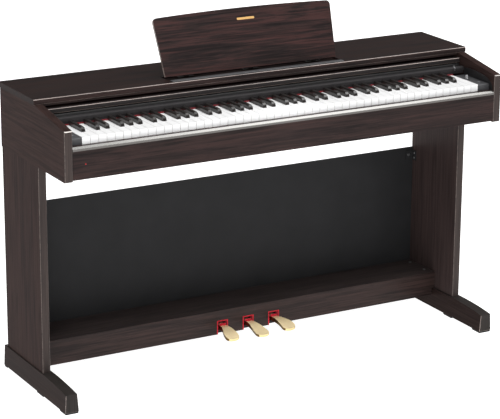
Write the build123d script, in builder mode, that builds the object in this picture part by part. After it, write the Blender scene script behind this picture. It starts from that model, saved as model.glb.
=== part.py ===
"""Upright digital piano on its stand, in millimetres.

X runs to the player's right, Y away from the player and Z up. The origin is on the floor, under
the middle of the piano. Every board, cover, key group, pedal and button is a part of its own.
"""

from build123d import *
import math
import os

os.makedirs("parts", exist_ok=True)

# ---- case
CASE_HALF = 672.0  # half the width over the case sides
BOARD = 23.0  # thickness of the case sides and stand panels
INNER = CASE_HALF - BOARD  # inner face of the case sides and stand panels
GAP = 0.3  # clearance at the ends of boards that fit between the sides
FITTED = INNER - GAP  # half length of such a board
CASE_FRONT, CASE_BACK = -211.0, 201.0
CASE_BOTTOM = 636.0
SIDE_FRONT_TOP = 771.0  # top of a case side at its front edge
BED_THICK = 18.0
BED_TOP = CASE_BOTTOM + BED_THICK

# ---- lid and what stands on it
LID_TOP, LID_THICK, LID_HALF = 815.0, 15.0, 674.5
LID_FRONT, LID_BACK = -28.0, 203.0
LID_BOTTOM = LID_TOP - LID_THICK
CHANNEL_HALF, CHANNEL_FRONT, CHANNEL_BACK, CHANNEL_DEEP = 270.0, -8.0, 47.0, 5.0
LEDGE_HALF, LEDGE_FRONT, LEDGE_HIGH = 268.0, -23.5, 2.5

# ---- music rest: its own axes run up the board and out of its front face
REST_AXIS_Y, REST_AXIS_Z = 31.0, 817.0
REST_LEAN = 20.8  # degrees back from upright
REST_THICK, REST_BACK_FACE, REST_BELOW = 7.0, 3.6, 2.0
REST_HIGH, REST_CROWN = 161.0, 6.0
REST_BOTTOM_HALF, REST_TOP_HALF, REST_CORNER = 267.5, 278.0, 12.0
KNUCKLE_R, HINGE_PIN_R, HINGE_BORE_R = 3.2, 1.2, 1.27
HINGE_X = (-200.0, 0.0, 200.0)
STAY_X = (-150.0, 150.0)
STAY_UP, STAY_OUT, STAY_LEAN = 60.0, 1.0, 35.0  # pivot on the rest, and the stay's angle from upright
STAY_WIDE, STAY_THICK, STAY_EYE_R = 10.0, 2.0, 2.3
STAY_PIN_R, STAY_BORE_R = 1.0, 1.07

# ---- keyboard
WHITE_PITCH, WHITE_COUNT = 23.5, 52
KEYS_HALF = WHITE_PITCH * WHITE_COUNT / 2
WHITE_FRONT, BLACK_FRONT, KEY_BACK = -185.0, -138.0, 22.0
WHITE_BOTTOM, WHITE_TOP, BLACK_BOTTOM, BLACK_TOP = 722.5, 744.5, 724.0, 756.5
WHITE_GAP, BLACK_GAP = 0.45, 0.9
BLACK_WIDE, BLACK_CAP_BACK = 10.4, -61.0
BLACK_SHIFT = {"A": 2.8, "C": -2.2, "D": 2.2, "F": -2.8, "G": 0.0}
KEY_AXIS_Y, KEY_AXIS_Z, KEY_ROD_R, KEY_BORE_R = 15.0, 733.0, 2.5, 2.58

# ---- front rail, key blocks and fallboard
SLIP_FRONT, SLIP_BACK, SLIP_BOTTOM, SLIP_TOP = -210.0, -192.0, 640.0, 727.0
TRIM_BACK, TRIM_BOTTOM, TRIM_EDGE = -203.0, 716.0, 722.0
CHEEK_THICK = 1.2
CHEEK_BACK = -62.0
BLOCK_INNER, BLOCK_FRONT, BLOCK_TOP = 611.8, -186.0, 743.5
BLOCK_OUTER = INNER - CHEEK_THICK
FALL_FRONT, FALL_BACK, FALL_BOTTOM, FALL_TOP = -60.0, -20.0, 747.8, 766.5

# ---- controls on the key blocks
KNOB_X, KNOB_Y, KNOB_TRAVEL = 622.0, -113.0, 12.0
POWER_X, POWER_Y, POWER_R, PRESS = 632.0, -160.0, 4.5, 1.5
BUTTON_X, BUTTON_YS = -630.0, (-160.0, -142.0, -124.0, -106.0)
BUTTON_WIDE, BUTTON_LONG, BUTTON_HIGH, BUTTON_PROUD = 15.0, 7.0, 4.0, 1.8
BUTTON_NAMES = ("song_button", "voice_button", "metronome_button", "record_button")
WELL_DEEP = 7.5
PLAY = 0.4  # clearance round a button or slider stem

# ---- key cover: a flat panel that travels on an arc far larger than the case
COVER_HALF = 646.5
COVER_FRONT, COVER_BACK, COVER_TOP, COVER_THICK = -28.0, 140.0, 787.0, 8.0
LIP_FRONT, LIP_BOTTOM, LIP_TOP = -40.0, 774.5, 788.0
RAIL_TOP, RAIL_HIGH, RAIL_WIDE = 776.0, 7.0, 12.0

# ---- stand
PANEL_FRONT, PANEL_BACK, PANEL_BOTTOM = -42.0, 196.0, 63.0
FOOT_FRONT, FOOT_BACK, FOOT_TIP_TOP = -199.0, 211.0, 54.0
FOOT_OUT, FOOT_IN, FOOT_TOP_OUT, FOOT_TOP_IN = 678.5, 639.0, 675.5, 644.0
PAD_HIGH = 5.0
PAD_SPANS = ((-199.0, -158.0), (-52.0, -9.0), (194.0, 211.0))
BACKING_FRONT, BACKING_BOTTOM, BACKING_TOP = 191.0, 42.0, 468.0
PEDAL_BOX_FRONT, PEDAL_BOX_BOTTOM, PEDAL_BOX_TOP = 53.0, 42.0, 113.0
PEDAL_BOARD = 12.0
FLOOR_THICK = 8.0
FOOT_CLEAR = 638.7  # boards that pass between the feet end here

# ---- pedals
PEDALS = (  # name, how far the paddle leans sideways, where its tip ends
    ("left_pedal", -3.0, -26.0),
    ("middle_pedal", 5.0, -36.0),
    ("right_pedal", 13.0, -26.0),
)
PEDAL_CENTRE, PEDAL_PITCH = 9.0, 83.5
PEDAL_AXIS_Y, PEDAL_AXIS_Z = 130.0, 72.0
PEDAL_ROD_R, PEDAL_BORE_R = 4.0, 4.08
PEDAL_HUB_R, NECK_HALF, PADDLE_HALF, PADDLE_ROUND = 8.0, 9.5, 20.5, 15.0
NOTCH_WIDE, NOTCH_TOP, FELT_WALL, FELT_PROUD = 35.0, 83.5, 3.0, 1.5
EAR_GAP, EAR_THICK = 10.5, 3.0


def save(built, name):
    """Labels a finished piece and writes it."""
    built.part.label = name
    export_step(built.part, f"parts/{name}.step")


def slab(x, y, z, mode=Mode.ADD):
    """A block between two values on each axis, in the part that is being built."""
    with Locations(((x[0] + x[1]) / 2, (y[0] + y[1]) / 2, (z[0] + z[1]) / 2)):
        Box(x[1] - x[0], y[1] - y[0], z[1] - z[0], mode=mode)


def outline(points):
    """A closed straight-sided face in the sketch that is being drawn."""
    Polygon(*points, align=None)


def on_side(side, inner, outer):
    """The span from inner to outer on the right (side 1) or the left (side -1)."""
    return (inner, outer) if side > 0 else (-outer, -inner)


def edges_along(part, axis, low, high):
    """Edges parallel to an axis whose middle lies between two corners of a box."""
    found = part.edges().filter_by(axis)
    for number, across in enumerate((Axis.X, Axis.Y, Axis.Z)):
        found = found.filter_by_position(across, low[number], high[number])
    return found


# ---- case ---------------------------------------------------------------------------------------


def case_side(side, name):
    """One end of the case. Its top follows the lid, then slopes down to the player."""
    low = on_side(side, INNER, CASE_HALF)[0]
    with BuildPart() as end:
        with BuildSketch(Plane.YZ.offset(low)):
            outline(
                [
                    (CASE_FRONT, CASE_BOTTOM),
                    (CASE_BACK, CASE_BOTTOM),
                    (CASE_BACK, LID_BOTTOM),
                    (LID_FRONT, LID_BOTTOM),
                    (CASE_FRONT, SIDE_FRONT_TOP),
                ]
            )
        extrude(amount=BOARD)
        front_edges = end.faces().sort_by(Axis.Y)[0].edges()
        fillet(front_edges, 3)
    save(end, name)


def cover_guides():
    """Dark liners inside the case sides, over the ends of the keyboard, and behind them the bars
    that carry the key cover. The cover's front end runs along the liners' curved top edge."""
    with BuildPart() as guides:
        for side in (1, -1):
            low = on_side(side, BLOCK_OUTER, INNER)[0]
            with BuildSketch(Plane.YZ.offset(low)):
                with BuildLine():
                    Polyline(
                        (-202, 727.4),
                        (SLIP_BACK + GAP, 727.4),
                        (SLIP_BACK + GAP, BED_TOP),
                        (CHEEK_BACK, BED_TOP),
                        (CHEEK_BACK, 764),
                    )
                    Spline(
                        (CHEEK_BACK, 764),
                        (-100, 766.5),
                        (-150, 763),
                        (-184, 754),
                        (-199, 741),
                        (-202, 727.4),
                        tangents=((-1, 0.14), (0, -1)),
                    )
                make_face()
            extrude(amount=CHEEK_THICK)
            slab(
                on_side(side, INNER - RAIL_WIDE, INNER),
                (FALL_BACK + 1, 185),
                (RAIL_TOP - RAIL_HIGH, RAIL_TOP),
            )
    save(guides, "cover_guides")


def top_lid():
    """The top board, with a shallow channel for the music rest's hinges."""
    with BuildPart() as lid:
        slab((-LID_HALF, LID_HALF), (LID_FRONT, LID_BACK), (LID_BOTTOM, LID_TOP))
        fillet(edges_along(lid, Axis.X, (-1, -30, 814), (1, -27, 816)), 4)
        fillet(edges_along(lid, Axis.X, (-1, -30, 799), (1, -27, 801)), 2)
        slab(
            (-CHANNEL_HALF, CHANNEL_HALF),
            (CHANNEL_FRONT, CHANNEL_BACK),
            (LID_TOP - CHANNEL_DEEP, LID_TOP + 1),
            mode=Mode.SUBTRACT,
        )
    save(lid, "top_lid")


def music_ledge():
    """The low bar that the music stands against."""
    with BuildPart() as ledge:
        slab((-LEDGE_HALF, LEDGE_HALF), (LEDGE_FRONT, CHANNEL_FRONT), (LID_TOP, LID_TOP + LEDGE_HIGH))
        chamfer(ledge.faces().sort_by(Axis.Z)[-1].edges(), 0.8)
    save(ledge, "music_ledge")


def case_back():
    """The rear cover between the case sides."""
    with BuildPart() as rear:
        slab((-FITTED, FITTED), (190, 196), (BED_TOP, LID_BOTTOM))
    save(rear, "case_back")


SPEAKER_X, SPEAKER_Y = 430.0, 115.0
SPEAKER_LONG, SPEAKER_WIDE = 120.0, 66.0


def key_bed():
    """The bottom board of the case, with an oval hole over each speaker."""
    with BuildPart() as bed:
        slab((-FITTED, FITTED), (SLIP_BACK, 195), (CASE_BOTTOM, BED_TOP))
        with BuildSketch(Plane.XY.offset(CASE_BOTTOM)):
            with Locations((-SPEAKER_X, SPEAKER_Y), (SPEAKER_X, SPEAKER_Y)):
                SlotOverall(SPEAKER_LONG, SPEAKER_WIDE)
        extrude(amount=BED_THICK, mode=Mode.SUBTRACT)
    save(bed, "key_bed")


def speakers():
    """Two oval speakers that face down through the key bed."""
    with BuildPart() as pair:
        for x in (-SPEAKER_X, SPEAKER_X):
            with BuildSketch(Plane.XY.offset(BED_TOP)):
                with Locations((x, SPEAKER_Y)):
                    SlotOverall(SPEAKER_LONG + 22, SPEAKER_WIDE + 22)
            extrude(amount=3)
            with BuildSketch(Plane.XY.offset(BED_TOP + 3)):
                with Locations((x, SPEAKER_Y)):
                    SlotOverall(SPEAKER_LONG + 4, SPEAKER_WIDE + 4)
            extrude(amount=24, taper=32)
            with BuildSketch(Plane.XY.offset(BED_TOP + 27)):
                with Locations((x, SPEAKER_Y)):
                    Circle(27)
            extrude(amount=18)
    save(pair, "speakers")


def speaker_grilles():
    """Slotted covers flush with the underside, below the speakers."""
    with BuildPart() as grilles:
        for x in (-SPEAKER_X, SPEAKER_X):
            with BuildSketch(Plane.XY.offset(CASE_BOTTOM + 1)):
                with Locations((x, SPEAKER_Y)):
                    SlotOverall(SPEAKER_LONG - 1, SPEAKER_WIDE - 1)
                with Locations((x, SPEAKER_Y)):
                    with GridLocations(9, 1, 9, 1):
                        SlotOverall(44, 4, rotation=90, mode=Mode.SUBTRACT)
            extrude(amount=3)
    save(grilles, "speaker_grilles")


def key_slip():
    """The front rail below the keys, with a seat for the power lamp."""
    with BuildPart() as slip:
        with BuildSketch(Plane.YZ.offset(-FITTED)):
            outline(
                [
                    (SLIP_FRONT, SLIP_BOTTOM),
                    (SLIP_BACK, SLIP_BOTTOM),
                    (SLIP_BACK, SLIP_TOP),
                    (TRIM_BACK, SLIP_TOP),
                    (TRIM_BACK, TRIM_BOTTOM),
                    (SLIP_FRONT, TRIM_BOTTOM),
                ]
            )
        extrude(amount=2 * FITTED)
        with Locations((-613, SLIP_FRONT + 1.5, 680)):
            Cylinder(1.6, 3, rotation=(90, 0, 0), mode=Mode.SUBTRACT)
    save(slip, "key_slip")


def key_slip_trim():
    """The metal-finish strip along the rail's top edge."""
    with BuildPart() as trim:
        with BuildSketch(Plane.YZ.offset(-FITTED)):
            outline(
                [
                    (CASE_FRONT + 0.2, TRIM_BOTTOM),
                    (TRIM_BACK, TRIM_BOTTOM),
                    (TRIM_BACK, SLIP_TOP),
                    (TRIM_BACK - 2.5, SLIP_TOP),
                    (CASE_FRONT + 0.2, TRIM_EDGE),
                ]
            )
        extrude(amount=2 * FITTED)
    save(trim, "key_slip_trim")


def power_lamp():
    """The small round indicator in the front rail."""
    with BuildPart() as lamp:
        with Locations((-613, SLIP_FRONT + 1.1, 680)):
            Cylinder(1.6, 3.8, rotation=(90, 0, 0))
    save(lamp, "power_lamp")


# ---- keyboard -----------------------------------------------------------------------------------


def black_centre(white):
    """X of the black key that stands to the right of a white key, or None."""
    letter = "ABCDEFG"[white % 7]
    if letter not in BLACK_SHIFT or not 0 <= white < WHITE_COUNT - 1:
        return None
    return WHITE_PITCH * (white + 1) - KEYS_HALF + BLACK_SHIFT[letter]


def white_outline(white):
    """Plan of a white key: a full-width head, and a tail that passes between the black keys."""
    left = WHITE_PITCH * white - KEYS_HALF + WHITE_GAP
    right = WHITE_PITCH * (white + 1) - KEYS_HALF - WHITE_GAP
    before, after = black_centre(white - 1), black_centre(white)
    step = BLACK_WIDE / 2 + BLACK_GAP
    tail_left = left if before is None else before + step
    tail_right = right if after is None else after - step
    notch = BLACK_FRONT - BLACK_GAP
    points = [(left, WHITE_FRONT), (right, WHITE_FRONT)]
    if tail_right < right:
        points += [(right, notch), (tail_right, notch)]
    points += [(tail_right, KEY_BACK), (tail_left, KEY_BACK)]
    if tail_left > left:
        points += [(tail_left, notch), (left, notch)]
    return points


def key_bore():
    """The hole for the pivot rod, through every key of the group that is being built."""
    with Locations((0, KEY_AXIS_Y, KEY_AXIS_Z)):
        Cylinder(KEY_BORE_R, 2 * KEYS_HALF + 2, rotation=(0, 90, 0), mode=Mode.SUBTRACT)


def white_keys(letter):
    """Every white key of one note name."""
    with BuildPart() as keys:
        for white in range(WHITE_COUNT):
            if "ABCDEFG"[white % 7] == letter:
                with BuildSketch(Plane.XY.offset(WHITE_BOTTOM)):
                    outline(white_outline(white))
                extrude(amount=WHITE_TOP - WHITE_BOTTOM)
        key_bore()
    save(keys, f"keys_{letter.lower()}")


def black_keys(letter):
    """Every black key to the right of one note name: a bevelled cap with a sloped front, on a body
    that runs back under the fallboard."""
    with BuildPart() as keys:
        for white in range(WHITE_COUNT):
            centre = black_centre(white)
            if "ABCDEFG"[white % 7] != letter or centre is None:
                continue
            with BuildSketch(Plane.YZ.offset(centre - BLACK_WIDE / 2)):
                outline(
                    [
                        (BLACK_FRONT, BLACK_BOTTOM),
                        (KEY_BACK, BLACK_BOTTOM),
                        (KEY_BACK, WHITE_TOP),
                        (BLACK_CAP_BACK, WHITE_TOP),
                        (BLACK_CAP_BACK, BLACK_TOP),
                        (BLACK_FRONT + 8, BLACK_TOP),
                        (BLACK_FRONT + 2, BLACK_TOP - 5),
                        (BLACK_FRONT, WHITE_TOP),
                    ]
                )
            extrude(amount=BLACK_WIDE)
        long_edges = edges_along(
            keys, Axis.Y, (-KEYS_HALF, -139, BLACK_TOP - 0.1), (KEYS_HALF, 0, BLACK_TOP + 0.1)
        )
        chamfer(long_edges, 1.2, 3)
        key_bore()
    save(keys, f"keys_{letter.lower()}_sharp")


def key_frame():
    """The chassis under the keys: a base, a front rest rail, a contact board rail and the rod that
    the keys turn on, carried by posts at its ends."""
    with BuildPart() as chassis:
        slab((-KEYS_HALF, KEYS_HALF), (-178, 30), (BED_TOP, BED_TOP + 4))
        slab((-KEYS_HALF, KEYS_HALF), (-176, -164), (BED_TOP + 4, 705))
        slab((-KEYS_HALF, KEYS_HALF), (-90, -70), (BED_TOP + 4, 700))
        slab((-KEYS_HALF, KEYS_HALF), (5, 27), (BED_TOP + 4, 715))
        for side in (1, -1):
            slab(on_side(side, KEYS_HALF + 0.2, FITTED - 8), (5, 27), (BED_TOP, 744))
            slab(on_side(side, KEYS_HALF - 6, KEYS_HALF + 0.2), (5, 27), (BED_TOP + 4, 700))
        with BuildSketch(Plane.YZ):
            with Locations((KEY_AXIS_Y, KEY_AXIS_Z)):
                Circle(KEY_ROD_R)
        extrude(amount=KEYS_HALF + 10, both=True)
    save(chassis, "key_frame")


def key_blocks():
    """The two solid ends of the keyboard, with wells for the buttons and the volume slider."""
    with BuildPart() as blocks:
        for side in (1, -1):
            slab(on_side(side, BLOCK_INNER, BLOCK_OUTER), (BLOCK_FRONT, CHEEK_BACK), (BED_TOP + 20, BLOCK_TOP))
        front_top = edges_along(blocks, Axis.X, (-700, -187, 743), (700, -185, 744))
        fillet(front_top, 4)
        slab(
            (KNOB_X - 1.5, KNOB_X + 1.5),
            (KNOB_Y - KNOB_TRAVEL - 4, KNOB_Y + KNOB_TRAVEL + 4),
            (BLOCK_TOP - WELL_DEEP, BLOCK_TOP + 1),
            mode=Mode.SUBTRACT,
        )
        with BuildSketch(Plane.XY.offset(BLOCK_TOP)):
            with Locations((POWER_X, POWER_Y)):
                Circle(POWER_R + PLAY)
            with Locations(*[(BUTTON_X, y) for y in BUTTON_YS]):
                RectangleRounded(BUTTON_WIDE + 2 * PLAY, BUTTON_LONG + 2 * PLAY, 2)
        extrude(amount=-WELL_DEEP, mode=Mode.SUBTRACT)
    save(blocks, "key_blocks")


def volume_knob():
    """The slider's finger grip, on a flat stem that runs in its slot."""
    with BuildPart() as knob:
        slab((KNOB_X - 1.1, KNOB_X + 1.1), (KNOB_Y - 3, KNOB_Y + 3), (BLOCK_TOP - 6, BLOCK_TOP + 1))
        with BuildSketch(Plane.YZ.offset(KNOB_X - 2.5)):
            outline(
                [
                    (KNOB_Y - 4.5, BLOCK_TOP + 0.5),
                    (KNOB_Y + 4.5, BLOCK_TOP + 0.5),
                    (KNOB_Y + 1.5, BLOCK_TOP + 12),
                    (KNOB_Y - 1.5, BLOCK_TOP + 12),
                ]
            )
        extrude(amount=5)
    save(knob, "volume_knob")


def power_button():
    """The round button beside the volume slider."""
    with BuildPart() as button:
        with BuildSketch(Plane.XY.offset(BLOCK_TOP + BUTTON_PROUD - 6)):
            with Locations((POWER_X, POWER_Y)):
                Circle(POWER_R)
        extrude(amount=6)
        chamfer(button.faces().sort_by(Axis.Z)[-1].edges(), 0.5)
    save(button, "power_button")


def function_button(name, y):
    """One of the oblong buttons on the left key block."""
    with BuildPart() as button:
        with BuildSketch(Plane.XY.offset(BLOCK_TOP + BUTTON_PROUD - BUTTON_HIGH)):
            with Locations((BUTTON_X, y)):
                RectangleRounded(BUTTON_WIDE, BUTTON_LONG, 1.6)
        extrude(amount=BUTTON_HIGH)
        chamfer(button.faces().sort_by(Axis.Z)[-1].edges(), 0.5)
    save(button, name)


def fallboard():
    """The board behind the keys, with a rounded nose over them."""
    with BuildPart() as board:
        with BuildSketch(Plane.YZ.offset(-FITTED)):
            outline(
                [
                    (FALL_FRONT + 3, FALL_BOTTOM),
                    (FALL_BACK, FALL_BOTTOM),
                    (FALL_BACK, FALL_TOP - 1.5),
                    (FALL_BACK - 6, FALL_TOP - 1.5),
                    (FALL_BACK - 22, FALL_TOP - 3),
                    (FALL_BACK - 26, FALL_TOP),
                    (FALL_FRONT, FALL_TOP),
                    (FALL_FRONT, FALL_BOTTOM + 8),
                    (FALL_FRONT + 3, FALL_BOTTOM + 7),
                ]
            )
        extrude(amount=2 * FITTED)
        nose = edges_along(board, Axis.X, (-1, -61, FALL_TOP - 1), (1, -59, FALL_TOP + 1))
        fillet(nose, 5)
    save(board, "fallboard")


def name_felt():
    """The felt strip under the fallboard's nose, along the backs of the black caps."""
    with BuildPart() as felt:
        slab((-KEYS_HALF, KEYS_HALF), (-60, -56.5), (WHITE_TOP + 0.7, FALL_BOTTOM))
    save(felt, "name_felt")


def main_board():
    """The circuit board behind the keyboard, with its larger components."""
    with BuildPart() as board:
        slab((-180, 180), (70, 175), (662, 663.6))
        slab((-150, -90), (85, 130), (663.6, 672))
        slab((-60, -20), (90, 130), (663.6, 666))
        slab((20, 100), (120, 160), (663.6, 684))
        for x in (-170, 170):
            for y in (78, 167):
                slab((x - 4, x + 4), (y - 4, y + 4), (BED_TOP, 662))
    save(board, "main_board")


# ---- sockets ------------------------------------------------------------------------------------

PHONES_X, PHONES_R, PHONES_DEEP = (-570.0, -540.0), 3.2, 20.0
PHONES_FRONT, PHONES_Z = -120.0, 625.0
INLET_X, INLET_R, INLET_DEEP, INLET_BACK, INLET_Z = 350.0, 2.8, 12.0, 185.0, 625.0


def headphone_box():
    """The housing under the left of the key bed, with two headphone sockets that face the player."""
    with BuildPart() as box:
        slab((-590, -520), (PHONES_FRONT, -60), (614, CASE_BOTTOM))
        with BuildSketch(Plane.XZ.offset(-PHONES_FRONT)):
            with Locations(*[(x, PHONES_Z) for x in PHONES_X]):
                Circle(PHONES_R)
        extrude(amount=-PHONES_DEEP, mode=Mode.SUBTRACT)
    save(box, "headphone_box")


def socket_box():
    """The housing under the rear of the key bed, with the power inlet and a square data socket."""
    with BuildPart() as box:
        slab((320, 440), (140, INLET_BACK), (614, CASE_BOTTOM))
        with BuildSketch(Plane.XZ.offset(-INLET_BACK)):
            with Locations((INLET_X, INLET_Z)):
                Circle(INLET_R)
        extrude(amount=INLET_DEEP, mode=Mode.SUBTRACT)
        slab((400, 412), (INLET_BACK - 10, INLET_BACK + 1), (619.5, 630.5), mode=Mode.SUBTRACT)
    save(box, "socket_box")


# ---- key cover ----------------------------------------------------------------------------------


def key_cover():
    """The sliding panel, stowed under the lid."""
    with BuildPart() as cover:
        slab(
            (-COVER_HALF, COVER_HALF),
            (COVER_FRONT, COVER_BACK),
            (COVER_TOP - COVER_THICK, COVER_TOP),
        )
    save(cover, "key_cover")


def key_cover_lip():
    """The grip along the cover's front edge."""
    with BuildPart() as lip:
        slab((-COVER_HALF, COVER_HALF), (LIP_FRONT, COVER_FRONT), (LIP_BOTTOM, LIP_TOP))
        front = edges_along(lip, Axis.X, (-1, LIP_FRONT - 1, 700), (1, LIP_FRONT + 1, 800))
        fillet(front, 3)
    save(lip, "key_cover_lip")


# ---- music rest ---------------------------------------------------------------------------------

LEAN = math.radians(REST_LEAN)
REST_UP = Vector(0, math.sin(LEAN), math.cos(LEAN))
REST_OUT = Vector(0, -math.cos(LEAN), math.sin(LEAN))
REST_AXIS = Vector(0, REST_AXIS_Y, REST_AXIS_Z)
STAY_PIVOT = REST_AXIS + REST_UP * STAY_UP + REST_OUT * STAY_OUT
STAY_ANGLE = math.radians(STAY_LEAN)
STAY_FOOT_Z = LID_TOP + GAP
STAY_DROP = STAY_PIVOT.Z - STAY_FOOT_Z - STAY_THICK / 2 * math.sin(STAY_ANGLE)
STAY_LONG = STAY_DROP / math.cos(STAY_ANGLE)


def rest_plane(x=0.0, up=0.0, out=0.0):
    """Sketch plane on the rest: x along the piano, y up the board, normal out of its front."""
    return Plane(REST_AXIS + REST_UP * up + REST_OUT * out + Vector(x, 0, 0), Vector(1, 0, 0), REST_OUT)


def music_rest():
    """The leaning board, a little wider at the top, with a crowned top edge."""
    side_top = REST_HIGH - REST_BELOW
    with BuildPart() as rest:
        with BuildSketch(rest_plane(out=REST_BACK_FACE)) as face:
            with BuildLine():
                Polyline(
                    (REST_TOP_HALF, side_top),
                    (REST_BOTTOM_HALF, -REST_BELOW),
                    (-REST_BOTTOM_HALF, -REST_BELOW),
                    (-REST_TOP_HALF, side_top),
                )
                ThreePointArc(
                    (-REST_TOP_HALF, side_top),
                    (0, side_top + REST_CROWN),
                    (REST_TOP_HALF, side_top),
                )
            make_face()
            fillet(face.vertices().group_by(Axis.Y)[-1], REST_CORNER)
        extrude(amount=REST_THICK)
    save(rest, "music_rest")


def rest_hinge_bases():
    """The hinge halves on the lid: foot plate, middle knuckle and pin."""
    with BuildPart() as bases:
        for x in HINGE_X:
            slab((x - 24, x + 24), (REST_AXIS_Y - 4, REST_AXIS_Y + 12), (LID_TOP - CHANNEL_DEEP, 812.5))
            slab((x - 7, x + 7), (REST_AXIS_Y - 2.5, REST_AXIS_Y + 2.5), (812, REST_AXIS_Z))
            with BuildSketch(Plane.YZ.offset(x - 7)):
                with Locations((REST_AXIS_Y, REST_AXIS_Z)):
                    Circle(KNUCKLE_R)
            extrude(amount=14)
            with BuildSketch(Plane.YZ.offset(x - 20)):
                with Locations((REST_AXIS_Y, REST_AXIS_Z)):
                    Circle(HINGE_PIN_R)
            extrude(amount=40)
    save(bases, "rest_hinge_bases")


def rest_hinge_leaves():
    """The hinge halves on the rest, and the lugs that its stays turn in."""
    with BuildPart() as leaves:
        for x in HINGE_X:
            for low in (x - 20, x + 7.5):
                with BuildSketch(Plane.YZ.offset(low)):
                    with Locations((REST_AXIS_Y, REST_AXIS_Z)):
                        Circle(KNUCKLE_R - 0.2)
                extrude(amount=12.5)
                with BuildSketch(rest_plane(low + 6.25, 11, 1.8)):
                    Rectangle(12.5, 22)
                extrude(amount=REST_BACK_FACE - 1.8)
        for x in HINGE_X:
            with BuildSketch(Plane.YZ.offset(x - 21)):
                with Locations((REST_AXIS_Y, REST_AXIS_Z)):
                    Circle(HINGE_BORE_R)
            extrude(amount=42, mode=Mode.SUBTRACT)
        for x in STAY_X:
            for low in (x - STAY_WIDE / 2 - 2.5, x + STAY_WIDE / 2 + 0.5):
                with BuildSketch(rest_plane(low + 1, STAY_UP, STAY_OUT - 2)):
                    Rectangle(2, 8)
                extrude(amount=REST_BACK_FACE - STAY_OUT + 2)
            with BuildSketch(Plane.YZ.offset(x - STAY_WIDE / 2 - 1)):
                with Locations((STAY_PIVOT.Y, STAY_PIVOT.Z)):
                    Circle(STAY_PIN_R)
            extrude(amount=STAY_WIDE + 2)
    save(leaves, "rest_hinge_leaves")


def rest_stay(name, x):
    """A flat steel prop, standing on the lid behind the rest, with a rolled eye at its pivot."""
    down = Vector(0, math.sin(STAY_ANGLE), -math.cos(STAY_ANGLE))
    bar = Plane(STAY_PIVOT + Vector(x, 0, 0), Vector(1, 0, 0), down)
    with BuildPart() as stay:
        with BuildSketch(bar):
            Rectangle(STAY_WIDE, STAY_THICK)
        extrude(amount=STAY_LONG)
        with BuildSketch(Plane.YZ.offset(x - STAY_WIDE / 2)):
            with Locations((STAY_PIVOT.Y, STAY_PIVOT.Z)):
                Circle(STAY_EYE_R)
        extrude(amount=STAY_WIDE)
        with BuildSketch(Plane.YZ.offset(x - STAY_WIDE / 2 - 1)):
            with Locations((STAY_PIVOT.Y, STAY_PIVOT.Z)):
                Circle(STAY_BORE_R)
        extrude(amount=STAY_WIDE + 2, mode=Mode.SUBTRACT)
    save(stay, name)


# ---- stand --------------------------------------------------------------------------------------


def side_panel(side, name):
    """The upright board under one end of the case."""
    with BuildPart() as panel:
        slab(on_side(side, INNER, CASE_HALF), (PANEL_FRONT, PANEL_BACK), (PANEL_BOTTOM, CASE_BOTTOM))
        fillet(edges_along(panel, Axis.Z, (-700, -43, 0), (700, -41, 700)), 3)
    save(panel, name)


def foot(side, name):
    """The long foot: sides that lean in, and a top that curves down to the front."""
    out, inward = side * FOOT_OUT, side * FOOT_IN
    with BuildPart() as base:
        with BuildSketch(Plane.XZ.offset(-FOOT_FRONT)):
            outline(
                [
                    (out, PAD_HIGH),
                    (side * FOOT_TOP_OUT, PANEL_BOTTOM),
                    (side * FOOT_TOP_IN, PANEL_BOTTOM),
                    (inward, PAD_HIGH),
                ]
            )
        extrude(amount=FOOT_FRONT - FOOT_BACK)
        with BuildSketch(Plane.YZ.offset(on_side(side, FOOT_IN - 5, FOOT_OUT + 5)[0])):
            with BuildLine():
                ThreePointArc((PANEL_FRONT, PANEL_BOTTOM), (-125, 61), (FOOT_FRONT, FOOT_TIP_TOP))
                Polyline(
                    (FOOT_FRONT, FOOT_TIP_TOP),
                    (FOOT_FRONT - 1, PANEL_BOTTOM + 1),
                    (PANEL_FRONT, PANEL_BOTTOM + 1),
                    (PANEL_FRONT, PANEL_BOTTOM),
                )
            make_face()
        extrude(amount=FOOT_OUT - FOOT_IN + 10, mode=Mode.SUBTRACT)
        chamfer(base.faces().sort_by(Axis.Y)[0].edges(), 1)
    save(base, name)


def foot_pads():
    """Three glides under each foot."""
    with BuildPart() as pads:
        for side in (1, -1):
            for low, high in PAD_SPANS:
                slab(on_side(side, FOOT_IN + 1.5, FOOT_OUT - 1.5), (low + 1, high - 1), (0, PAD_HIGH))
    save(pads, "foot_pads")


def clear_feet(back):
    """Cuts the lower corners of the board that is being built, where it passes the feet."""
    for side in (1, -1):
        slab(
            on_side(side, FOOT_CLEAR, INNER + 1),
            (PEDAL_BOX_FRONT - 1, back + 1),
            (PEDAL_BOX_BOTTOM - 1, PANEL_BOTTOM + GAP),
            mode=Mode.SUBTRACT,
        )


def back_board():
    """The thin board that braces the stand."""
    with BuildPart() as board:
        slab((-FITTED, FITTED), (BACKING_FRONT, PANEL_BACK), (BACKING_BOTTOM, BACKING_TOP))
        clear_feet(PANEL_BACK)
    save(board, "back_board")


def back_board_brackets():
    """Angle brackets between the back board and the panels."""
    with BuildPart() as brackets:
        for side in (1, -1):
            slab(on_side(side, 646.5, INNER), (172, BACKING_FRONT), (430, 458))
            slab(on_side(side, 622, 646.5), (BACKING_FRONT - 2.5, BACKING_FRONT), (430, 458))
    save(brackets, "back_board_brackets")


def stand_screws():
    """Domed screws on top of the pedal box and through the brackets."""
    with BuildPart() as screws:
        for side in (1, -1):
            for y in (87, 164):
                with Locations((side * 633, y, PEDAL_BOX_TOP + 1)):
                    Cylinder(4.5, 2)
            with Locations((side * 632, BACKING_FRONT - 3.5, 446)):
                Cylinder(4, 2, rotation=(90, 0, 0))
        chamfer(screws.edges().filter_by(GeomType.CIRCLE), 0.5)
    save(screws, "stand_screws")


def pedal_xs():
    """The three pedals' places along the piano."""
    return [PEDAL_CENTRE + number * PEDAL_PITCH for number in (-1, 0, 1)]


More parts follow.
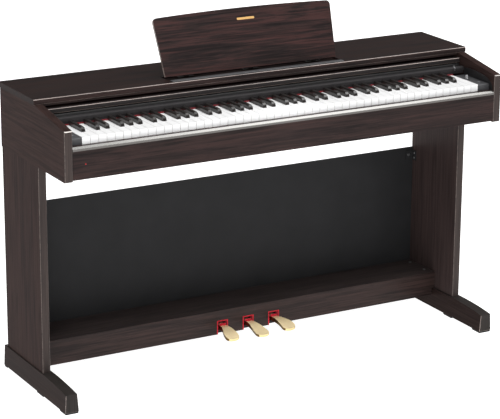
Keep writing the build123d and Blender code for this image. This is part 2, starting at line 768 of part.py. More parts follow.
def pedal_box():
    """The front and top boards of the box that holds the pedals, notched for each pedal."""
    with BuildPart() as box:
        slab(
            (-FITTED, FITTED),
            (PEDAL_BOX_FRONT, PEDAL_BOX_FRONT + PEDAL_BOARD),
            (PEDAL_BOX_BOTTOM, PEDAL_BOX_TOP),
        )
        slab(
            (-FITTED, FITTED),
            (PEDAL_BOX_FRONT, BACKING_FRONT),
            (PEDAL_BOX_TOP - PEDAL_BOARD, PEDAL_BOX_TOP),
        )
        for x in pedal_xs():
            slab(
                (x - NOTCH_WIDE / 2, x + NOTCH_WIDE / 2),
                (PEDAL_BOX_FRONT - 1, PEDAL_BOX_FRONT + PEDAL_BOARD + 1),
                (PEDAL_BOX_BOTTOM - 1, NOTCH_TOP),
                mode=Mode.SUBTRACT,
            )
        clear_feet(BACKING_FRONT)
    save(box, "pedal_box")


def pedal_box_floor():
    """The bottom board of the pedal box."""
    with BuildPart() as board:
        slab(
            (-FOOT_CLEAR, FOOT_CLEAR),
            (PEDAL_BOX_FRONT + PEDAL_BOARD, BACKING_FRONT),
            (PEDAL_BOX_BOTTOM, PEDAL_BOX_BOTTOM + FLOOR_THICK),
        )
    save(board, "pedal_box_floor")


def pedal_felts():
    """Felt linings round the three notches."""
    half = NOTCH_WIDE / 2
    front, back = PEDAL_BOX_FRONT - FELT_PROUD, PEDAL_BOX_FRONT + PEDAL_BOARD
    with BuildPart() as felts:
        for x in pedal_xs():
            slab((x - half, x + half), (front, back), (PEDAL_BOX_BOTTOM + 0.5, NOTCH_TOP))
            slab(
                (x - half + FELT_WALL, x + half - FELT_WALL),
                (front - 1, back + 1),
                (PEDAL_BOX_BOTTOM, NOTCH_TOP - FELT_WALL),
                mode=Mode.SUBTRACT,
            )
    save(felts, "pedal_felts")


def pedal_chassis():
    """The steel base in the pedal box, with a pair of ears beside each pedal."""
    base_z = PEDAL_BOX_BOTTOM + FLOOR_THICK
    with BuildPart() as chassis:
        slab((-126, 134), (80, 180), (base_z, base_z + 3))
        for x in pedal_xs():
            for side in (1, -1):
                low, high = on_side(side, EAR_GAP, EAR_GAP + EAR_THICK)
                slab((x + low, x + high), (PEDAL_AXIS_Y - 14, PEDAL_AXIS_Y + 14), (base_z + 3, 88))
        with BuildSketch(Plane.YZ):
            with Locations((PEDAL_AXIS_Y, PEDAL_AXIS_Z)):
                Circle(PEDAL_ROD_R)
        extrude(amount=115, both=True, mode=Mode.SUBTRACT)
    save(chassis, "pedal_chassis")


def pedal_pivot_rod():
    """The rod that all three pedals turn on."""
    with BuildPart() as rod:
        with BuildSketch(Plane.YZ):
            with Locations((PEDAL_AXIS_Y, PEDAL_AXIS_Z)):
                Circle(PEDAL_ROD_R)
        extrude(amount=105, both=True)
    save(rod, "pedal_pivot_rod")


def pedal(name, x, lean, tip):
    """A brass lever: a deep neck from the pivot, arched where it leaves the box, then a broad
    paddle with a blunt round tip."""
    middle, widest = x + lean, tip + PADDLE_ROUND
    with BuildPart() as arm:
        with BuildSketch(Plane.XY):
            with BuildLine():
                Polyline(
                    (x - NECK_HALF, 50),
                    (x - NECK_HALF, PEDAL_AXIS_Y + 14),
                    (x + NECK_HALF, PEDAL_AXIS_Y + 14),
                    (x + NECK_HALF, 50),
                )
                for edge in (1, -1):
                    Spline(
                        (x + edge * NECK_HALF, 50),
                        (middle + edge * PADDLE_HALF, widest),
                        tangents=((0, -1), (0, -1)),
                    )
                    Spline(
                        (middle + edge * PADDLE_HALF, widest),
                        (middle + edge * 14, tip + 3.6),
                        (middle, tip),
                        tangents=((0, -1), (-edge, 0)),
                    )
            make_face()
        extrude(amount=100)
        with BuildSketch(Plane.YZ.offset(x - 40)):
            with BuildLine():
                Spline(
                    (tip - 1, 52.5),
                    (-8, 59),
                    (14, 65.5),
                    (34, 69),
                    (54, 67.5),
                    tangents=((1, 0.2), (1, -0.05)),
                )
                Polyline((54, 67.5), (100, 71), (PEDAL_AXIS_Y + 12, 76), (PEDAL_AXIS_Y + 12, 68))
                Polyline((PEDAL_AXIS_Y + 12, 68), (78, 62), (62, 57), (34, 57))
                Spline(
                    (34, 57),
                    (8, 54.5),
                    (tip - 1, 45.5),
                    tangents=((-1, 0), (-1, -0.2)),
                )
                Line((tip - 1, 45.5), (tip - 1, 52.5))
            make_face()
        extrude(amount=80, mode=Mode.INTERSECT)
        with BuildSketch(Plane.YZ.offset(x - NECK_HALF)):
            with Locations((PEDAL_AXIS_Y, PEDAL_AXIS_Z)):
                Circle(PEDAL_HUB_R)
        extrude(amount=2 * NECK_HALF)
        with BuildSketch(Plane.YZ.offset(x - NECK_HALF - 1)):
            with Locations((PEDAL_AXIS_Y, PEDAL_AXIS_Z)):
                Circle(PEDAL_BORE_R)
        extrude(amount=2 * NECK_HALF + 2, mode=Mode.SUBTRACT)
    save(arm, name)


case_side(-1, "left_case_side")
case_side(1, "right_case_side")
cover_guides()
top_lid()
music_ledge()
case_back()
key_bed()
speakers()
speaker_grilles()
key_slip()
key_slip_trim()
power_lamp()
for note in "CDEFGAB":
    white_keys(note)
for note in "CDFGA":
    black_keys(note)
key_frame()
key_blocks()
volume_knob()
power_button()
for button_name, button_y in zip(BUTTON_NAMES, BUTTON_YS):
    function_button(button_name, button_y)
fallboard()
name_felt()
main_board()
headphone_box()
socket_box()
key_cover()
key_cover_lip()
music_rest()
rest_hinge_bases()
rest_hinge_leaves()
rest_stay("left_stay", STAY_X[0])
rest_stay("right_stay", STAY_X[1])
side_panel(-1, "left_side_panel")
side_panel(1, "right_side_panel")
foot(-1, "left_foot")
foot(1, "right_foot")
foot_pads()
back_board()
back_board_brackets()
stand_screws()
pedal_box()
pedal_box_floor()
pedal_felts()
pedal_chassis()
pedal_pivot_rod()
for (pedal_name, pedal_lean, pedal_tip), pedal_x in zip(PEDALS, pedal_xs()):
    pedal(pedal_name, pedal_x, pedal_lean, pedal_tip)
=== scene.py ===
import math

import bmesh
import bpy
from mathutils import Matrix, Vector


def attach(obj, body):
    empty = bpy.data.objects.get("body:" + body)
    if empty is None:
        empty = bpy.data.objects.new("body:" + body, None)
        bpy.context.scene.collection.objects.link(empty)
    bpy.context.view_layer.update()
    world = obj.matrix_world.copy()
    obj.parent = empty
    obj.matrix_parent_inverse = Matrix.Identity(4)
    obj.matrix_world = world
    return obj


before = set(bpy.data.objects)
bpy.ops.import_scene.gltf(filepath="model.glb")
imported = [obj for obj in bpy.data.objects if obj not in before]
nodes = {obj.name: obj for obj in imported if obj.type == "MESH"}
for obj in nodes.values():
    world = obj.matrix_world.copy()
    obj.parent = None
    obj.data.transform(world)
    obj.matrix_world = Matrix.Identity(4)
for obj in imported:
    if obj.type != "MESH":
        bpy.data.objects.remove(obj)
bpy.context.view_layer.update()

scene = bpy.context.scene
MM = 0.001


# ---- camera ------------------------------------------------------------------------------------

YAW, PITCH, ROLL = math.radians(29.219), math.radians(16.95), math.radians(0.352)
ahead = Vector((math.sin(YAW) * math.cos(PITCH), math.cos(YAW) * math.cos(PITCH), -math.sin(PITCH)))
flat_right = Vector((math.cos(YAW), -math.sin(YAW), 0))
flat_up = flat_right.cross(ahead)
right = math.cos(ROLL) * flat_right + math.sin(ROLL) * flat_up
up = -math.sin(ROLL) * flat_right + math.cos(ROLL) * flat_up
camera = bpy.data.objects.new("camera", bpy.data.cameras.new("camera"))
camera.data.sensor_width = 36
camera.data.lens = 155.38
camera.data.clip_end = 100
camera.matrix_world = Matrix(
    (
        (right.x, up.x, -ahead.x, -2.8255),
        (right.y, up.y, -ahead.y, -5.0224),
        (right.z, up.z, -ahead.z, 2.1713),
        (0, 0, 0, 1),
    )
)
scene.collection.objects.link(camera)
scene.camera = camera


# ---- materials ---------------------------------------------------------------------------------


class Shader:
    """A material whose nodes are made and linked in a few words."""

    def __init__(self, name, **values):
        self.mat = bpy.data.materials.new(name)
        self.mat.use_nodes = True
        self.tree = self.mat.node_tree
        self.bsdf = self.tree.nodes["Principled BSDF"]
        for key, value in values.items():
            self.bsdf.inputs[key.replace("_", " ")].default_value = value
        self.place = self.tree.nodes.new("ShaderNodeTexCoord").outputs["Object"]

    def node(self, kind, **inputs):
        made = self.tree.nodes.new("ShaderNode" + kind)
        for key, value in inputs.items():
            socket = made.inputs[key.replace("_", " ")]
            if hasattr(value, "is_output"):
                self.tree.links.new(value, socket)
            else:
                socket.default_value = value
        return made

    def stretched(self, scale):
        """The object's own coordinates, scaled per axis."""
        return self.node("Mapping", Vector=self.place, Scale=scale).outputs[0]

    def noise(self, where, scale, detail=3.0, rough=0.55, distortion=0.0):
        settings = {"Scale": scale, "Detail": detail, "Roughness": rough, "Distortion": distortion}
        return self.node("TexNoise", Vector=where, **settings).outputs["Fac"]

    def ramp(self, value, stops):
        """Colours or greys at positions from 0 to 1."""
        made = self.node("ValToRGB", Fac=value)
        points = made.color_ramp.elements
        while len(points) < len(stops):
            points.new(0.5)
        for point, (where, colour) in zip(points, stops):
            point.position = where
            point.color = (*colour, 1) if isinstance(colour, tuple) else (colour, colour, colour, 1)
        return made.outputs["Color"]

    def mix(self, fac, a, b, how="MIX"):
        made = self.tree.nodes.new("ShaderNodeMix")
        made.data_type = "RGBA"
        made.blend_type = how
        for index, value in ((0, fac), (6, a), (7, b)):
            if hasattr(value, "is_output"):
                self.tree.links.new(value, made.inputs[index])
            elif index == 0:
                made.inputs[index].default_value = value
            else:
                made.inputs[index].default_value = (*value, 1)
        return made.outputs[2]

    def maths(self, how, a, b=0.0):
        made = self.tree.nodes.new("ShaderNodeMath")
        made.operation = how
        for index, value in ((0, a), (1, b)):
            if hasattr(value, "is_output"):
                self.tree.links.new(value, made.inputs[index])
            else:
                made.inputs[index].default_value = value
        return made.outputs[0]

    def colour(self, value):
        self.tree.links.new(value, self.bsdf.inputs["Base Color"])

    def rough(self, value, low, high):
        """Roughness that follows a 0 to 1 value between two limits."""
        made = self.node("MapRange", Value=value)
        made.inputs["To Min"].default_value = low
        made.inputs["To Max"].default_value = high
        self.tree.links.new(made.outputs[0], self.bsdf.inputs["Roughness"])

    def bump(self, height, strength, distance):
        made = self.node("Bump", Height=height, Strength=strength, Distance=distance)
        self.tree.links.new(made.outputs[0], self.bsdf.inputs["Normal"])


def srgb(*parts):
    """Linear colour from red, green and blue as they look, 0 to 255."""
    return tuple(((c / 255 + 0.055) / 1.055) ** 2.4 if c > 10 else c / 255 / 12.92 for c in parts)


def rosewood(name, along, *tones, gloss=0.38, figure=1.0, shine=0.22):
    """Wood-grain film. along is the axis that the grain runs in; the tones are dark, middle and streak."""
    made = Shader("rosewood_" + name, Specular_IOR_Level=shine)
    dark, mid, streak = [srgb(*tone) for tone in tones]
    fine = [230.0, 230.0, 230.0]
    fine[along] = 6.0
    broad = [38.0, 38.0, 38.0]
    broad[along] = 2.4
    pores = [760.0, 760.0, 760.0]
    pores[along] = 30.0
    lines = made.noise(made.stretched(fine), 1.0, 6.0, 0.62, 0.35)
    bands = made.noise(made.stretched(broad), 1.0, 5.0, 0.6, 1.8)
    pits = made.noise(made.stretched(pores), 1.0, 2.0, 0.5)
    base = made.ramp(lines, [(0.36, dark), (0.52, mid), (0.68, streak)])
    flame = made.ramp(bands, [(0.46, 0.0), (0.62, 1.0)])
    tinted = made.mix(made.maths("MULTIPLY", flame, 0.6 * figure), base, streak)
    shade = made.ramp(bands, [(0.36, (0.62, 0.66, 0.68)), (0.5, (1.0, 1.0, 1.0))])
    grained = made.mix(figure, tinted, shade, "MULTIPLY")
    specks = made.ramp(pits, [(0.3, 0.0), (0.4, 1.0)])
    made.colour(made.mix(made.maths("MULTIPLY", made.maths("SUBTRACT", 1.0, specks), 0.8), grained, dark))
    made.rough(bands, gloss - 0.05, gloss + 0.09)
    made.bump(made.maths("ADD", made.maths("MULTIPLY", pits, 0.6), lines), 0.1, 0.0003)
    return made.mat


wood_x = rosewood("along_x", 0, (34, 27, 26), (43, 34, 33), (56, 41, 39), shine=0.08)
wood_y = rosewood("along_y", 1, (42, 32, 30), (50, 38, 36), (60, 46, 43), figure=0.5, shine=0.01)
wood_z = rosewood("along_z", 2, (41, 31, 30), (50, 38, 36), (60, 46, 43), figure=0.7, shine=0.01)
wood_front = rosewood("front_edge", 2, (52, 45, 43), (60, 52, 50), (68, 59, 56), figure=0.3, shine=0.1)
# painted light: a lighter copy of the panel wood for the inner faces of the side panels, standing in for
# light that falls on them
wood_inner_painted_light = rosewood("inner", 2, (50, 41, 40), (59, 49, 48), (68, 56, 54), figure=0.4, shine=0.03)
wood_foot = rosewood("foot", 1, (35, 26, 24), (42, 32, 30), (49, 38, 35), figure=0.3, shine=0.02)
# painted light: a greyer copy of the foot wood for the feet's front faces and tops, standing in for how the
# light falls on them
wood_toe_painted_light = rosewood("toe", 2, (38, 34, 32), (46, 42, 40), (54, 49, 47), figure=0.3, shine=0.1)
# painted light: a lighter, greyer copy of the box wood for the top of the pedal box, standing in for the
# light on it
wood_top_painted_light = rosewood("box_top", 0, (46, 40, 39), (60, 53, 52), (74, 64, 62), gloss=0.35, figure=0.6, shine=0.1)
wood_lid = rosewood("lid", 0, (23, 15, 14), (31, 21, 20), (42, 29, 26), gloss=0.45, shine=0.05)
wood_lip = rosewood("lip", 0, (34, 30, 30), (40, 36, 36), (46, 41, 40), gloss=0.4, figure=0.2, shine=0.15)
wood_box = rosewood("box", 0, (36, 28, 27), (48, 38, 36), (62, 47, 44), gloss=0.3, figure=0.6, shine=0.12)
wood_rest = rosewood("rest", 0, (27, 21, 21), (43, 34, 33), (68, 43, 41), gloss=0.4, shine=0.15)
# painted highlights: lighter wood for bevels and rounded edges, standing in for the light that rounded edges
# catch
wood_painted_highlight = rosewood("edge", 0, (72, 63, 60), (84, 75, 71), (98, 88, 83), gloss=0.3, shine=0.25)
bright_painted_highlight = rosewood("lit_edge", 0, (112, 99, 94), (136, 122, 116), (158, 144, 138), gloss=0.2, shine=0.5)
# painted highlight: near-white wood for the glint on the rounded top front corners of the case sides
corner_painted_highlight = rosewood("corner", 0, (190, 180, 174), (214, 206, 200), (230, 224, 219), gloss=0.2, shine=0.5)


def plastic(name, colour, rough=0.45, grain=0.0002, scale=1400.0, mottling=0.12, shine=0.5):
    """Moulded plastic with a fine texture and slight unevenness."""
    made = Shader(name, Specular_IOR_Level=shine)
    fine = made.noise(made.place, scale, 2.0)
    cloud = made.noise(made.place, 11.0, 3.0)
    low = tuple(c * (1 - mottling) for c in colour)
    high = tuple(min(1, c * (1 + mottling)) for c in colour)
    made.colour(made.ramp(cloud, [(0.3, low), (0.7, high)]))
    made.rough(cloud, rough - 0.05, rough + 0.06)
    made.bump(fine, 0.25, grain)
    return made.mat


dark_plastic = plastic("dark_plastic", srgb(63, 63, 65), 0.5)
black_plastic = plastic("black_plastic", srgb(26, 25, 26), 0.42)
light_plastic = plastic("light_plastic", srgb(158, 158, 160), 0.4, mottling=0.04)
bump_plastic = plastic("fallboard_plastic", srgb(45, 43, 44), 0.55, shine=0.15)
ledge_plastic = plastic("ledge_plastic", srgb(62, 62, 64), 0.5)
grey_plastic = plastic("grey_plastic", srgb(98, 98, 101), 0.45)
board_black = plastic("charcoal_board", srgb(38, 38, 39), 0.55, 0.0003, 260.0, shine=0.12)


def metal(name, colour, rough, scale, depth=0.00008, spread=0.08, metallic=1.0):
    """Metal or gilding with a brushed or polished surface."""
    made = Shader(name, Metallic=metallic)
    lines = made.noise(made.stretched(scale), 1.0, 3.0)
    made.colour(made.ramp(lines, [(0.25, tuple(c * 0.9 for c in colour)), (0.75, colour)]))
    made.rough(lines, rough - spread / 2, rough + spread / 2)
    made.bump(lines, 0.15, depth)
    return made.mat


trim_metal = metal("satin_trim", srgb(114, 113, 111), 0.24, (3.0, 900.0, 900.0))
# painted shade: a darker copy of the trim metal for the trim's front face
trim_front_painted_shade = metal("satin_trim_painted_shade", srgb(104, 101, 99), 0.25, (14.0, 900.0, 900.0))
steel = metal("zinc_steel", srgb(150, 150, 152), 0.38, (300.0, 300.0, 300.0))
dark_steel = metal("dark_steel", srgb(70, 68, 66), 0.42, (300.0, 300.0, 300.0))
brass = metal("polished_brass", srgb(232, 210, 158), 0.1, (260.0, 40.0, 260.0), 0.00005, 0.06)
brushed_brass = metal("brushed_brass", srgb(240, 218, 172), 0.32, (700.0, 90.0, 260.0), 0.00006, 0.1, 0.3)
gilt = metal("gilt", srgb(226, 178, 112), 0.45, (120.0, 400.0, 400.0), metallic=0.35)


def key_white():
    made = Shader("ivory_white", Coat_Weight=0.3, Coat_Roughness=0.08)
    cloud = made.noise(made.stretched((6.0, 3.0, 6.0)), 1.0, 3.0)
    fine = made.noise(made.stretched((900.0, 60.0, 900.0)), 1.0, 2.0)
    made.colour(made.ramp(cloud, [(0.3, srgb(243, 243, 243)), (0.7, srgb(251, 251, 251))]))
    made.rough(cloud, 0.22, 0.32)
    made.bump(fine, 0.05, 0.0001)
    return made.mat


def key_black():
    made = Shader("key_black", Coat_Weight=0.35, Coat_Roughness=0.12, Specular_IOR_Level=0.35)
    fine = made.noise(made.stretched((700.0, 70.0, 700.0)), 1.0, 3.0)
    cloud = made.noise(made.place, 30.0, 2.0)
    made.colour(made.ramp(cloud, [(0.3, srgb(24, 21, 20)), (0.7, srgb(37, 33, 31))]))
    made.rough(fine, 0.3, 0.42)
    made.bump(fine, 0.12, 0.0001)
    return made.mat


def felt(name, low, high):
    made = Shader(name, Sheen_Weight=0.15, Sheen_Roughness=0.5, Roughness=0.95)
    fibre = made.noise(made.place, 2600.0, 4.0, 0.7)
    tufts = made.noise(made.place, 380.0, 3.0)
    both = made.maths("MULTIPLY", fibre, tufts)
    made.colour(made.ramp(both, [(0.12, low), (0.42, high)]))
    made.bump(both, 0.8, 0.0008)
    return made.mat


def rubber():
    made = Shader("glide_rubber", Roughness=0.8)
    grit = made.noise(made.place, 700.0, 3.0)
    made.colour(made.ramp(grit, [(0.3, srgb(20, 20, 20)), (0.7, srgb(40, 39, 38))]))
    made.bump(grit, 0.4, 0.0004)
    return made.mat


def circuit():
    made = Shader("circuit_board", Roughness=0.45)
    cells = made.node("TexVoronoi", Vector=made.place, Scale=160.0)
    made.colour(made.ramp(cells.outputs["Distance"], [(0.1, srgb(150, 140, 80)), (0.2, srgb(18, 78, 44))]))
    made.bump(cells.outputs["Distance"], 0.3, 0.0003)
    return made.mat


def lamp():
    made = Shader("lamp_red", Roughness=0.2)
    cloud = made.noise(made.place, 900.0, 2.0)
    made.colour(made.ramp(cloud, [(0.3, srgb(140, 14, 16)), (0.7, srgb(196, 30, 32))]))
    return made.mat


def cone():
    made = Shader("speaker_cone", Roughness=0.85)
    pulp = made.noise(made.place, 600.0, 4.0)
    made.colour(made.ramp(pulp, [(0.3, srgb(22, 22, 23)), (0.7, srgb(44, 43, 42))]))
    made.bump(pulp, 0.5, 0.0005)
    return made.mat


white_key, black_key = key_white(), key_black()
red_felt = felt("red_felt", srgb(140, 4, 22), srgb(222, 20, 46))
# painted shade: a darker red felt for the strip behind the keys, standing in for the shade under the
# fallboard
felt_painted_shade = felt("red_felt_painted_shade", srgb(96, 3, 15), srgb(160, 12, 32))
# painted shade: grey side faces for the white keys, standing in for the shade in the gaps between them
key_gap_painted_shade = plastic("key_gap_painted_shade", srgb(182, 179, 176), 0.5, mottling=0.05)
# painted shade: a dark brass for the side faces of the pedals, standing in for the shade on their sides
brass_side_painted_shade = metal("brass_painted_shade", srgb(104, 82, 46), 0.3, (260.0, 40.0, 260.0), 0.00005, 0.08)
pad_rubber, green_board, lamp_red, cone_black = rubber(), circuit(), lamp(), cone()

LOOKS = {
    "left_case_side": wood_y,
    "right_case_side": wood_y,
    "top_lid": wood_lid,
    "key_bed": wood_x,
    "key_slip": wood_x,
    "key_cover": wood_x,
    "key_cover_lip": wood_lip,
    "fallboard": bump_plastic,
    "left_side_panel": wood_z,
    "right_side_panel": wood_z,
    "left_foot": wood_foot,
    "right_foot": wood_foot,
    "pedal_box": wood_box,
    "pedal_box_floor": board_black,
    "back_board": board_black,
    "case_back": board_black,
    "music_rest": wood_rest,
    "music_ledge": ledge_plastic,
    "key_blocks": dark_plastic,
    "cover_guides": black_plastic,
    "headphone_box": black_plastic,
    "socket_box": black_plastic,
    "speaker_grilles": black_plastic,
    "speakers": cone_black,
    "key_slip_trim": trim_metal,
    "power_lamp": lamp_red,
    "key_frame": black_plastic,
    "main_board": green_board,
    # painted shade: the felt behind the keys is darkened
    "name_felt": felt_painted_shade,
    "pedal_felts": red_felt,
    "foot_pads": pad_rubber,
    "stand_screws": steel,
    "back_board_brackets": board_black,
    "pedal_chassis": dark_steel,
    "pedal_pivot_rod": steel,
    "rest_hinge_bases": dark_steel,
    "rest_hinge_leaves": dark_steel,
    "left_stay": steel,
    "right_stay": steel,
    "left_pedal": brass,
    "middle_pedal": brass,
    "right_pedal": brass,
    "volume_knob": light_plastic,
    "power_button": grey_plastic,
    "song_button": grey_plastic,
    "voice_button": grey_plastic,
    "metronome_button": grey_plastic,
    "record_button": grey_plastic,
}
for name, node in nodes.items():
    if name.startswith("keys_"):
        look = black_key if name.endswith("_sharp") else white_key
    else:
        look = LOOKS[name]
    node.data.materials.clear()
    node.data.materials.append(look)


# ---- edges, second finishes, painted highlights and painted shade ------------------------------

EDGES = {  # how far an edge is rounded, in mm, and the painted highlight that its rounded faces get, if it has one
    "left_side_panel": (0.8, wood_painted_highlight),
    "right_side_panel": (0.8, wood_painted_highlight),
    "left_foot": (1.0, bright_painted_highlight),
    "right_foot": (1.0, bright_painted_highlight),
    "pedal_box": (1.2, None),
    "key_slip": (0.8, wood_painted_highlight),
    "top_lid": (1.2, bright_painted_highlight),
    "left_case_side": (1.2, wood_painted_highlight),
    "right_case_side": (1.2, wood_painted_highlight),
    "key_cover": (1.0, None),
    "left_pedal": (1.0, None),
    "middle_pedal": (1.0, None),
    "right_pedal": (1.0, None),
    "key_cover_lip": (0.6, bright_painted_highlight),
    "key_blocks": (0.8, None),
    "music_rest": (1.2, bright_painted_highlight),
    "back_board": (0.6, None),
}
WHITE_EDGE, BLACK_EDGE = 0.7, 0.9
SQUARE = 0.93  # a normal's largest part, on a face that isn't a bevel


def soften(node, width, segments=3, edge=None):
    """Rounds a piece's sharp edges, with a painted highlight on its rounded faces if one is given, and evens
    its shading.
    """
    bevel = node.modifiers.new("soft_edges", "BEVEL")
    bevel.width = width * MM
    bevel.segments = segments
    bevel.limit_method = "ANGLE"
    bevel.angle_limit = math.radians(35)
    # the bevel faces and the CAD's rounded faces get the painted highlight
    if edge:
        node.data.materials.append(edge)
        bevel.material = 1
        for face in node.data.polygons:
            if max(abs(c) for c in face.normal) < SQUARE:
                face.material_index = 1
    weighted = node.modifiers.new("even_shading", "WEIGHTED_NORMAL")
    weighted.keep_sharp = True


for name, (width, edge) in EDGES.items():
    soften(nodes[name], width, edge=edge)
for name, node in nodes.items():
    if name.startswith("keys_"):
        soften(node, BLACK_EDGE if name.endswith("_sharp") else WHITE_EDGE, 2)


def second_look(node, look, chosen):
    """Another finish on the CAD faces whose normal is chosen; also how painted highlights and painted shade
    are put on faces that face one way.
    """
    node.data.materials.append(look)
    for face in node.data.polygons:
        if chosen(face.normal):
            face.material_index = len(node.data.materials) - 1


# painted shade on the front face of the key slip trim
second_look(nodes["key_slip_trim"], trim_front_painted_shade, lambda n: n.y < -0.9)
# painted light on the top of the pedal box
second_look(nodes["pedal_box"], wood_top_painted_light, lambda n: n.z > 0.9)
# painted light on the inner faces of the side panels
second_look(nodes["right_side_panel"], wood_inner_painted_light, lambda n: n.x < -0.9)
second_look(nodes["left_side_panel"], wood_inner_painted_light, lambda n: n.x > 0.9)
# painted shade in the gaps between white keys, on their side faces
for name, node in nodes.items():
    if name.startswith("keys_") and not name.endswith("_sharp"):
        second_look(node, key_gap_painted_shade, lambda n: abs(n.x) > 0.9)
for name in ("left_pedal", "middle_pedal", "right_pedal"):
    second_look(nodes[name], brushed_brass, lambda n: n.z > 0.6)
    # painted shade on the side faces of each pedal
    second_look(nodes[name], brass_side_painted_shade, lambda n: abs(n.x) > 0.6 and n.z < 0.6)
for name in ("left_case_side", "right_case_side", "left_side_panel", "right_side_panel"):
    second_look(nodes[name], wood_front, lambda n: n.y < -SQUARE)
# painted light on the front faces and tops of the feet
for name in ("left_foot", "right_foot"):
    second_look(nodes[name], wood_toe_painted_light, lambda n: n.y < -SQUARE or n.z > 0.6)
# painted highlight: a near-white glint on the rounded top front corners of the case sides
for name in ("left_case_side", "right_case_side"):
    second_look(nodes[name], corner_painted_highlight, lambda n: n.y < -0.22 and 0.25 < n.z < 0.975)
second_look(nodes["top_lid"], wood_x, lambda n: n.y < -SQUARE)
# the upper part of the lid's rounded front edge goes back to plain lid wood, leaving the painted highlight as
# a narrow line lower down
second_look(nodes["top_lid"], wood_lid, lambda n: n.y < -0.2 and n.z > 0.85)
# painted highlight: the side faces of the music rest get the lighter painted edge wood
second_look(nodes["music_rest"], bright_painted_highlight, lambda n: abs(n.x) > 0.9)


# ---- small pieces ------------------------------------------------------------------------------


def prism(form, points, lift):
    """A solid between a closed outline and the same outline moved by lift."""
    low = [form.verts.new(Vector(point) * MM) for point in points]
    high = [form.verts.new((Vector(point) + Vector(lift)) * MM) for point in points]
    form.faces.new(low)
    form.faces.new(high)
    for here in range(len(points)):
        there = (here + 1) % len(points)
        form.faces.new((low[here], low[there], high[there], high[here]))


def strip(points, thick):
    """The closed outline of a bent strip that follows a line in the plane x = 0."""
    near, far = [], []
    for index, point in enumerate(points):
        before, after = points[max(index - 1, 0)], points[min(index + 1, len(points) - 1)]
        run = Vector((after[0] - before[0], after[1] - before[1])).normalized()
        near.append((point[0] + run.y * thick / 2, point[1] - run.x * thick / 2))
        far.append((point[0] - run.y * thick / 2, point[1] + run.x * thick / 2))
    return near + far[::-1]


def turned(form, profile, place, out, sides=24, cross=0.0):
    """A round form turned about the axis out. cross is the depth of the recess in a screw's head."""
    turn = Vector(out).to_track_quat("Z", "Y")
    rings = []
    for radius, height in profile:
        ring = []
        for step in range(sides):
            angle = 2 * math.pi * step / sides
            in_cross = radius < CROSS_REACH and step % (sides // 4) == 0
            at = Vector((radius * math.cos(angle), radius * math.sin(angle), height - cross * in_cross))
            ring.append(form.verts.new((Vector(place) + turn @ at) * MM))
        rings.append(ring)
    for low, high in zip(rings, rings[1:]):
        for step in range(sides):
            there = (step + 1) % sides
            form.faces.new((low[step], low[there], high[there], high[step]))


def add_piece(name, body, look, form, bevel=0.3):
    """Turns a bmesh into a named piece with a finish, and sets it on its body."""
    bmesh.ops.recalc_face_normals(form, faces=form.faces)
    mesh = bpy.data.meshes.new(name)
    form.to_mesh(mesh)
    form.free()
    piece = bpy.data.objects.new(name, mesh)
    scene.collection.objects.link(piece)
    mesh.materials.append(look)
    if bevel:
        soften(piece, bevel, 2)
    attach(piece, body)


HEAD = [(0.01, 1.2), (1.0, 1.25), (2.0, 1.2), (3.0, 0.9), (3.6, 0.35), (3.8, 0.0), (0.01, 0.0)]
RING = [(3.3, 0.0), (3.3, 1.6), (3.7, 2.0), (4.9, 2.0), (5.3, 1.6), (5.3, 0.0), (3.3, 0.0)]
CROSS_REACH = 2.1
REAR_Y, END_X, LEG_X, HALF_LENGTH = 196, 632, 646.5, 646

# screws of the rear boards
case_rows = [(x, z) for x in range(-620, 621, 155) for z in (664, 790)]
board_foot = [(x, 72) for x in (-END_X, -310, 0, 310, END_X)]
board_ends = [(x, z) for z in (170, 290, 440) for x in (-END_X, END_X)]
rear_screws = bmesh.new()
for x, z in case_rows + board_foot + board_ends:
    turned(rear_screws, HEAD, (x, REAR_Y, z), (0, 1, 0), cross=0.7)
add_piece("rear_screws", "case", steel, rear_screws, 0)

# screws through the side legs of the angle brackets
small_head = [(0.75 * radius, height) for radius, height in HEAD]
leg_screws = bmesh.new()
for z in (437, 451):
    for side in (-1, 1):
        turned(leg_screws, small_head, (side * LEG_X, 180, z), (-side, 0, 0), cross=0.6)
add_piece("bracket_leg_screws", "case", steel, leg_screws, 0)

# threaded rings round the headphone jacks
rings = bmesh.new()
for x in (-570, -540):
    turned(rings, RING, (x, -120, 625), (0, -1, 0), 32)
add_piece("jack_rings", "case", steel, rings, 0)

# felt stop pad on the neck of each pedal, and the dark plate behind the notches
PAD_HALF = 9.2
pad_side = [(48.5, 66.8), (57, 66.8), (57, 71.6), (55.6, 73.4), (52, 73.8), (49.6, 72.8), (48.5, 70.8)]
for name, x in (("left", -74.5), ("middle", 9.0), ("right", 92.5)):
    pad = bmesh.new()
    prism(pad, [(x - PAD_HALF, y, z) for y, z in pad_side], (2 * PAD_HALF, 0, 0))
    add_piece(f"{name}_pedal_pad", f"{name}_pedal_lever", red_felt, pad, 0.5)
GUARD_LEFT, GUARD_LONG = -108, 234
guard = bmesh.new()
guard_side = strip([(84, 100), (72, 100), (70, 98), (70, 84), (70, 71)], 1.5)
prism(guard, [(GUARD_LEFT, y, z) for y, z in guard_side], (GUARD_LONG, 0, 0))
add_piece("pedal_guard", "case", dark_steel, guard, 0.2)

# soft seal along the top of the fallboard, and the batten under the front edge of the lid
SEAL_SIDE = [(-40, 763), (-38.5, 770), (-36.5, 771.8), (-33, 771.8), (-31.5, 763)]
BATTEN_SIDE = [(-26, 801), (-26, 794.5), (-14, 794.5), (-14, 801)]
for name, slot, look, section in (
    ("fallboard_seal", "dark_plastic", black_plastic, SEAL_SIDE),
    ("lid_batten", "rosewood", wood_x, BATTEN_SIDE),
):
    board = bmesh.new()
    prism(board, [(-HALF_LENGTH, y, z) for y, z in section], (2 * HALF_LENGTH, 0, 0))
    add_piece(name, "case", look, board, 0.4)

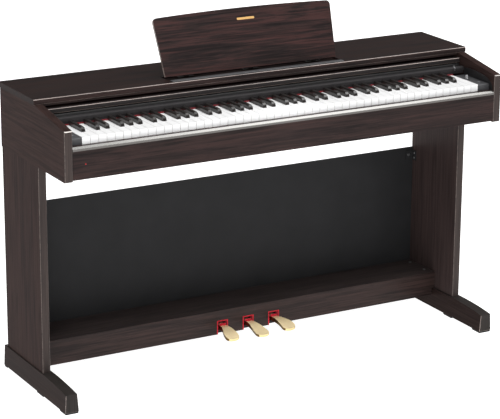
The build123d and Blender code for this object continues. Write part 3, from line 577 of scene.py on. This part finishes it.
# spring clip over the right end of the fallboard's nose
CLIP_LEFT, CLIP_WIDE = 615, 4
clip = bmesh.new()
bend = strip([(-60.5, 757), (-60.6, 763), (-58.8, 766.4), (-55.5, 767.4), (-54.2, 770.4)], 0.8)
prism(clip, [(CLIP_LEFT, y, z) for y, z in bend], (CLIP_WIDE, 0, 0))
add_piece("cover_clip", "case", steel, clip, 0.15)

# plain gilt bar near the top of the music rest
LEAN, HINGE_Y, HINGE_Z, FACE_OUT = math.radians(20.8), 31, 817, 10.4
BAR_X, BAR_UP, BAR_HALF, BAR_ROUND, BAR_THICK = 4, 134, 24, 3.2, 0.8
bar = bmesh.new()
outline = []
for step in range(20):
    angle = 2 * math.pi * (step + 0.5) / 20
    x = BAR_X + math.copysign(BAR_HALF, math.cos(angle)) + BAR_ROUND * math.cos(angle)
    rise = BAR_UP + BAR_ROUND * math.sin(angle)
    y = HINGE_Y + rise * math.sin(LEAN) - FACE_OUT * math.cos(LEAN)
    z = HINGE_Z + rise * math.cos(LEAN) + FACE_OUT * math.sin(LEAN)
    outline.append((x, y, z))
prism(bar, outline, (0, -BAR_THICK * math.cos(LEAN), BAR_THICK * math.sin(LEAN)))
add_piece("rest_gilt_bar", "rest", gilt, bar, 0.2)


# ---- floor and light ---------------------------------------------------------------------------

bpy.ops.mesh.primitive_plane_add(size=40, location=(0, 0, 0))
floor = bpy.context.object
floor.name = "floor"
grey, white = (0.5, 0.5, 0.5, 1), (1, 1, 1, 1)
pale = Shader("pale_floor", Base_Color=grey, Roughness=0.9, Emission_Color=white, Emission_Strength=1.0)
floor.data.materials.append(pale.mat)

world = bpy.data.worlds.new("studio")
scene.world = world
world.use_nodes = True
sky = world.node_tree
direction = sky.nodes.new("ShaderNodeTexCoord")
split = sky.nodes.new("ShaderNodeSeparateXYZ")
dome = sky.nodes.new("ShaderNodeValToRGB")
sky.links.new(direction.outputs["Generated"], split.inputs[0])
sky.links.new(split.outputs["Z"], dome.inputs["Fac"])
sky.links.new(dome.outputs["Color"], sky.nodes["Background"].inputs["Color"])
sky.nodes["Background"].inputs["Strength"].default_value = 1.8
HORIZON, FLAGS, SOFTBOX = 0.55, 0.04, 1.0
heights = [(0.0, HORIZON), (0.1, HORIZON), (0.17, FLAGS), (0.6, FLAGS), (0.8, SOFTBOX)]
while len(dome.color_ramp.elements) < len(heights):
    dome.color_ramp.elements.new(0.5)
for point, (height, level) in zip(dome.color_ramp.elements, heights):
    point.position = height
    point.color = (level, level, level, 1)
scene.view_settings.view_transform = "Standard"


def add_light(name, kind, place, target, power, **settings):
    """A light at a place, turned towards a target."""
    data = bpy.data.lights.new(name, kind)
    data.energy = power
    for key, value in settings.items():
        setattr(data, key, value)
    made = bpy.data.objects.new(name, data)
    made.location = place
    made.rotation_mode = "QUATERNION"
    made.rotation_quaternion = (Vector(target) - Vector(place)).to_track_quat("-Z", "Y")
    scene.collection.objects.link(made)


square_box = {"shape": "RECTANGLE", "size": 2.0, "size_y": 2.0}
long_box = {"shape": "RECTANGLE", "size": 3.6, "size_y": 1.1}
add_light("key_light", "AREA", (-2.2, -3.6, 2.0), (0, 0, 0.5), 66, **square_box)
add_light("edge_light", "AREA", (1.4, -1.4, 3.7), (0, 0, 0.8), 60, **long_box)
beam = {"spot_size": math.radians(14), "spot_blend": 1.0, "shadow_soft_size": 0.12}
add_light("pedal_light", "SPOT", (0.0, -0.64, 1.6), (0.01, -0.02, 0.05), 60, **beam)
